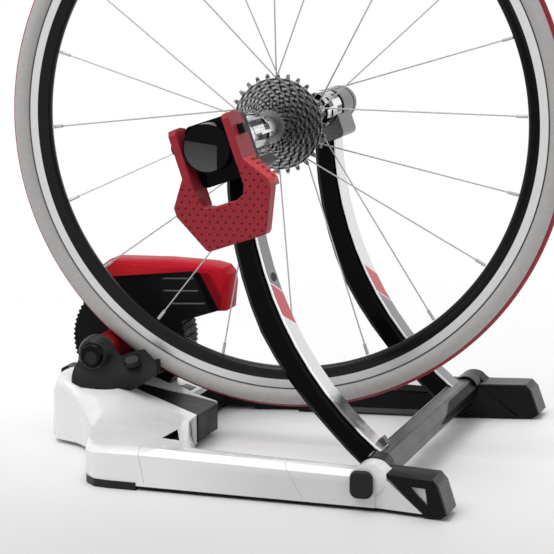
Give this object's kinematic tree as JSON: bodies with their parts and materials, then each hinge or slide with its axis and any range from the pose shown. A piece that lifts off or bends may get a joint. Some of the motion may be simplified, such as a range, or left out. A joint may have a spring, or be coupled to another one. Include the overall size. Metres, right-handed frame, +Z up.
{
  "type": "bicycle rear wheel on a floor trainer",
  "caption": "Spoked road wheel held by its axle in a folding floor trainer, its tyre on a roller with a finned brake, flywheel and red clamp lever.",
  "frame": {"origin": "middle of the overall box at floor level", "axes": "+X towards the front of the bicycle, +Y towards its non-drive side, +Z up"},
  "size_m": [0.68, 0.556, 0.73],
  "materials": {
    "tyre_rubber": "mid grey sidewall with a crimson tread, satin",
    "tube_rubber": "black butyl, matt",
    "rim_black": "gloss black with a machined silver brake track",
    "spoke_steel": "bright drawn stainless",
    "hub_alloy": "satin grey anodised",
    "sprocket_steel": "satin nickel plate",
    "skewer_steel": "bright steel",
    "clamp_chrome": "bright chrome",
    "barrel_alloy": "satin silver",
    "face_silver": "bright silver with plain red bands",
    "upright_paint": "gloss black paint",
    "crossbar_paint": "satin gunmetal",
    "clamp_plastic": "satin black moulding",
    "pin_steel": "blackened steel",
    "lever_red": "satin red moulding with a dotted grip",
    "hood_red": "gloss red moulding",
    "housing_black": "satin black ribbed moulding",
    "cradle_charcoal": "matt charcoal moulding",
    "shell_white": "gloss white moulding",
    "pad_rubber": "matt black rubber",
    "roller_red": "red anodised sleeve on a steel shaft",
    "flywheel_iron": "turned iron"
  },
  "bodies": {
    "base": {"base_spine": "clamp_plastic", "base_shell_near": "shell_white", "base_shell_far": "shell_white", "foot_near": "clamp_plastic", "foot_far": "clamp_plastic", "rear_pad_near": "pad_rubber", "rear_pad_far": "pad_rubber", "rear_pad_centre": "pad_rubber", "pivot_cap_near": "pad_rubber", "pivot_cap_far": "pad_rubber", "roller_cradle": "cradle_charcoal", "roller_bearing_near": "skewer_steel", "brake_housing": "housing_black", "brake_cover": "housing_black", "brake_hood": "hood_red"},
    "a_frame": {"crossbar": "crossbar_paint", "upright_near": "upright_paint", "upright_far": "upright_paint", "upright_face_near": "face_silver", "upright_face_far": "face_silver", "clamp_housing_near": "clamp_plastic", "clamp_housing_far": "barrel_alloy", "hub_axle": "hub_alloy", "skewer_rod": "skewer_steel", "skewer_nut": "skewer_steel", "skewer_lever": "skewer_steel"},
    "wheel": {"tyre": "tyre_rubber", "inner_tube": "tube_rubber", "rim": "rim_black", "hub_shell": "hub_alloy", "spoke_01": "spoke_steel", "spoke_02": "spoke_steel", "spoke_03": "spoke_steel", "spoke_04": "spoke_steel", "spoke_05": "spoke_steel", "spoke_06": "spoke_steel", "spoke_07": "spoke_steel", "spoke_08": "spoke_steel", "spoke_09": "spoke_steel", "spoke_10": "spoke_steel", "spoke_11": "spoke_steel", "spoke_12": "spoke_steel", "spoke_13": "spoke_steel", "spoke_14": "spoke_steel", "spoke_15": "spoke_steel", "spoke_16": "spoke_steel", "spoke_17": "spoke_steel", "spoke_18": "spoke_steel", "spoke_19": "spoke_steel", "spoke_20": "spoke_steel"},
    "cassette": {"freehub_body": "hub_alloy", "cassette_large_sprockets": "sprocket_steel", "cassette_small_sprockets": "sprocket_steel", "cassette_lockring": "hub_alloy"},
    "roller_and_flywheel": {"roller": "roller_red", "flywheel": "flywheel_iron"},
    "lever": {"clamp_lever": "lever_red", "clamp_lever_pin": "pin_steel"},
    "near_cup": {"clamp_cup_near": "clamp_chrome"},
    "far_cup": {"clamp_cup_far": "clamp_chrome"}
  },
  "joints": [
    {"name": "a_frame_swing", "type": "hinge", "parent": "base", "child": "a_frame", "pos_m": [0.175, 0.00505, 0.039], "axis": [0, 1, 0], "range_deg": [0, 60]},
    {"name": "wheel_spin", "type": "hinge", "parent": "a_frame", "child": "wheel", "pos_m": [0, 0.00505, 0.39], "axis": [0, 1, 0], "continuous": true},
    {"name": "cassette_coast", "type": "hinge", "parent": "wheel", "child": "cassette", "pos_m": [0, -0.03495, 0.39], "axis": [0, 1, 0], "continuous": true},
    {"name": "roller_spin", "type": "hinge", "parent": "base", "child": "roller_and_flywheel", "pos_m": [-0.222, 0.00505, 0.10876], "axis": [0, 1, 0], "continuous": true},
    {"name": "clamp_lever_swing", "type": "hinge", "parent": "a_frame", "child": "lever", "pos_m": [-0.00293, -0.25695, 0.39851], "axis": [-0.9455, 0, -0.3256], "range_deg": [0, 110]},
    {"name": "clamp_cup_slide", "type": "slide", "parent": "a_frame", "child": "near_cup", "axis": [0, -1, 0], "range_m": [0, 0.00653]},
    {"name": "far_cup_adjust", "type": "slide", "parent": "a_frame", "child": "far_cup", "axis": [0, 1, 0], "range_m": [0, 0.008]}
  ],
  "couplings": [
    {"joint": "roller_spin", "follows": "wheel_spin", "ratio": -18.889},
    {"joint": "clamp_cup_slide", "follows": "clamp_lever_swing", "m_per_rad": 0.0034004}
  ]
}
